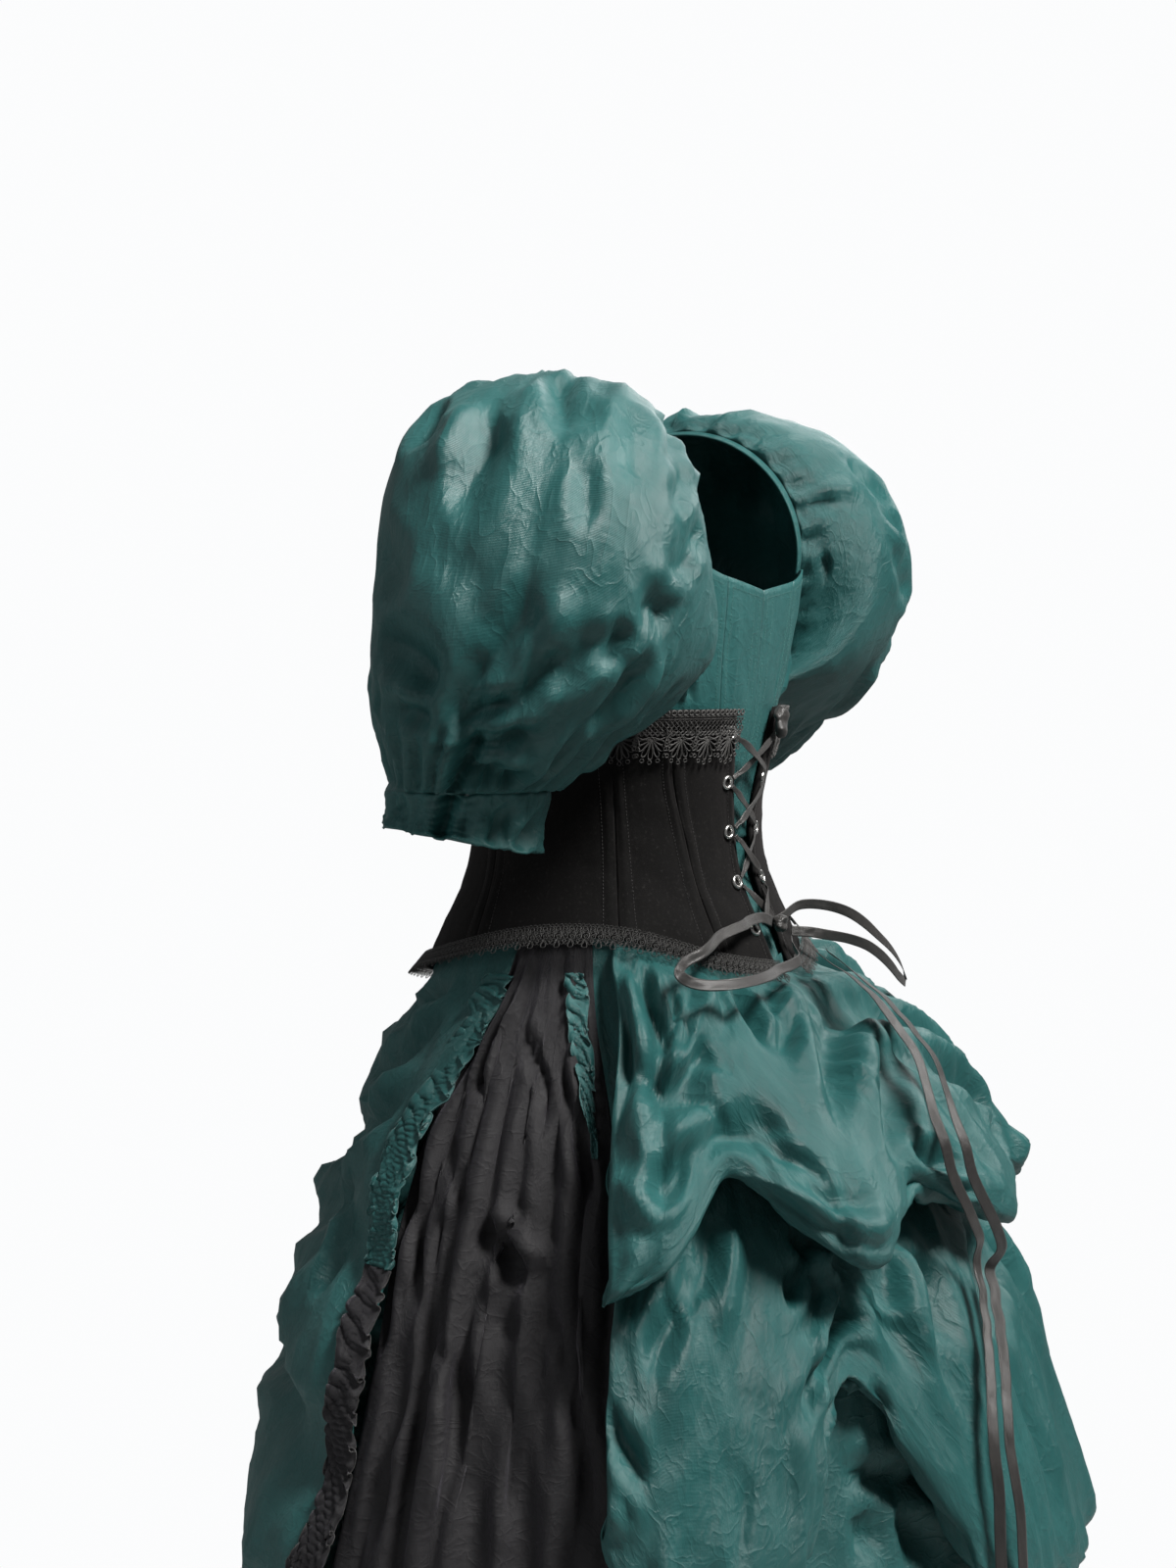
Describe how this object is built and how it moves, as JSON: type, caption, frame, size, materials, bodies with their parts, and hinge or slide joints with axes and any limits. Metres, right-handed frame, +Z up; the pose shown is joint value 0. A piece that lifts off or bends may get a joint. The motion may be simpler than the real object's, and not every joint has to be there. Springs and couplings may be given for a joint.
{
  "type": "bustle dress with its laced velvet waist cincher",
  "caption": "Hollow worn bustle dress with balloon sleeves, drawn-up skirt puffs, ruffled side panels and a laced velvet waist cincher.",
  "frame": {"origin": "centre of the waist, where the wearer's waist holds the dress up", "axes": "+Z up along the wearer's body, the wearer faces -Y, the wearer's left is +X"},
  "size_m": [0.9218, 0.9373, 1.3914],
  "materials": {
    "teal_sateen": "dark teal cotton sateen with a soft sheen",
    "black_cotton": "black lightweight cotton satin",
    "black_velvet": "black velvet with a short pile",
    "black_lace": "black corded guipure lace",
    "eyelet_metal": "bright rolled metal eyelets",
    "black_satin": "black satin ribbon"
  },
  "bodies": {
    "root": {"bodice_back_left": "teal_sateen", "bodice_back_right": "teal_sateen", "bodice_front": "teal_sateen", "bodice_side_left": "teal_sateen", "bodice_side_right": "teal_sateen", "neck_band_left": "teal_sateen", "neck_band_right": "teal_sateen", "puff_lower": "teal_sateen", "puff_upper": "teal_sateen", "ruffle_back_left": "teal_sateen", "ruffle_back_right": "teal_sateen", "ruffle_front_upper_left": "teal_sateen", "ruffle_front_upper_right": "teal_sateen", "skirt_back": "teal_sateen", "skirt_front": "teal_sateen", "sleeve_flounce_left": "teal_sateen", "sleeve_flounce_right": "teal_sateen", "sleeve_puff_left": "teal_sateen", "sleeve_puff_right": "teal_sateen", "ruffle_front_lower_left": "black_cotton", "ruffle_front_lower_right": "black_cotton", "skirt_side_left": "black_cotton", "skirt_side_right": "black_cotton", "cincher_panel_1_left": "black_velvet", "cincher_panel_1_right": "black_velvet", "cincher_panel_2_left": "black_velvet", "cincher_panel_2_right": "black_velvet", "cincher_panel_3_left": "black_velvet", "cincher_panel_3_right": "black_velvet", "cincher_panel_4_left": "black_velvet", "cincher_panel_4_right": "black_velvet", "lace_hem_left": "black_lace", "lace_hem_right": "black_lace", "lace_top_left": "black_lace", "lace_top_right": "black_lace", "eyelet_1_left": "eyelet_metal", "eyelet_1_right": "eyelet_metal", "eyelet_2_left": "eyelet_metal", "eyelet_2_right": "eyelet_metal", "eyelet_3_left": "eyelet_metal", "eyelet_3_right": "eyelet_metal", "eyelet_4_left": "eyelet_metal", "eyelet_4_right": "eyelet_metal", "eyelet_5_left": "eyelet_metal", "eyelet_5_right": "eyelet_metal", "bow_knot": "black_satin", "bow_loop_left": "black_satin", "bow_loop_right": "black_satin", "lacing_1_left": "black_satin", "lacing_1_right": "black_satin", "lacing_2_left": "black_satin", "lacing_2_right": "black_satin", "lacing_3_left": "black_satin", "lacing_3_right": "black_satin", "lacing_4_left": "black_satin", "lacing_4_right": "black_satin", "ribbon_tail_1": "black_satin", "ribbon_tail_2": "black_satin", "upper_knot": "black_satin"}
  },
  "joints": []
}
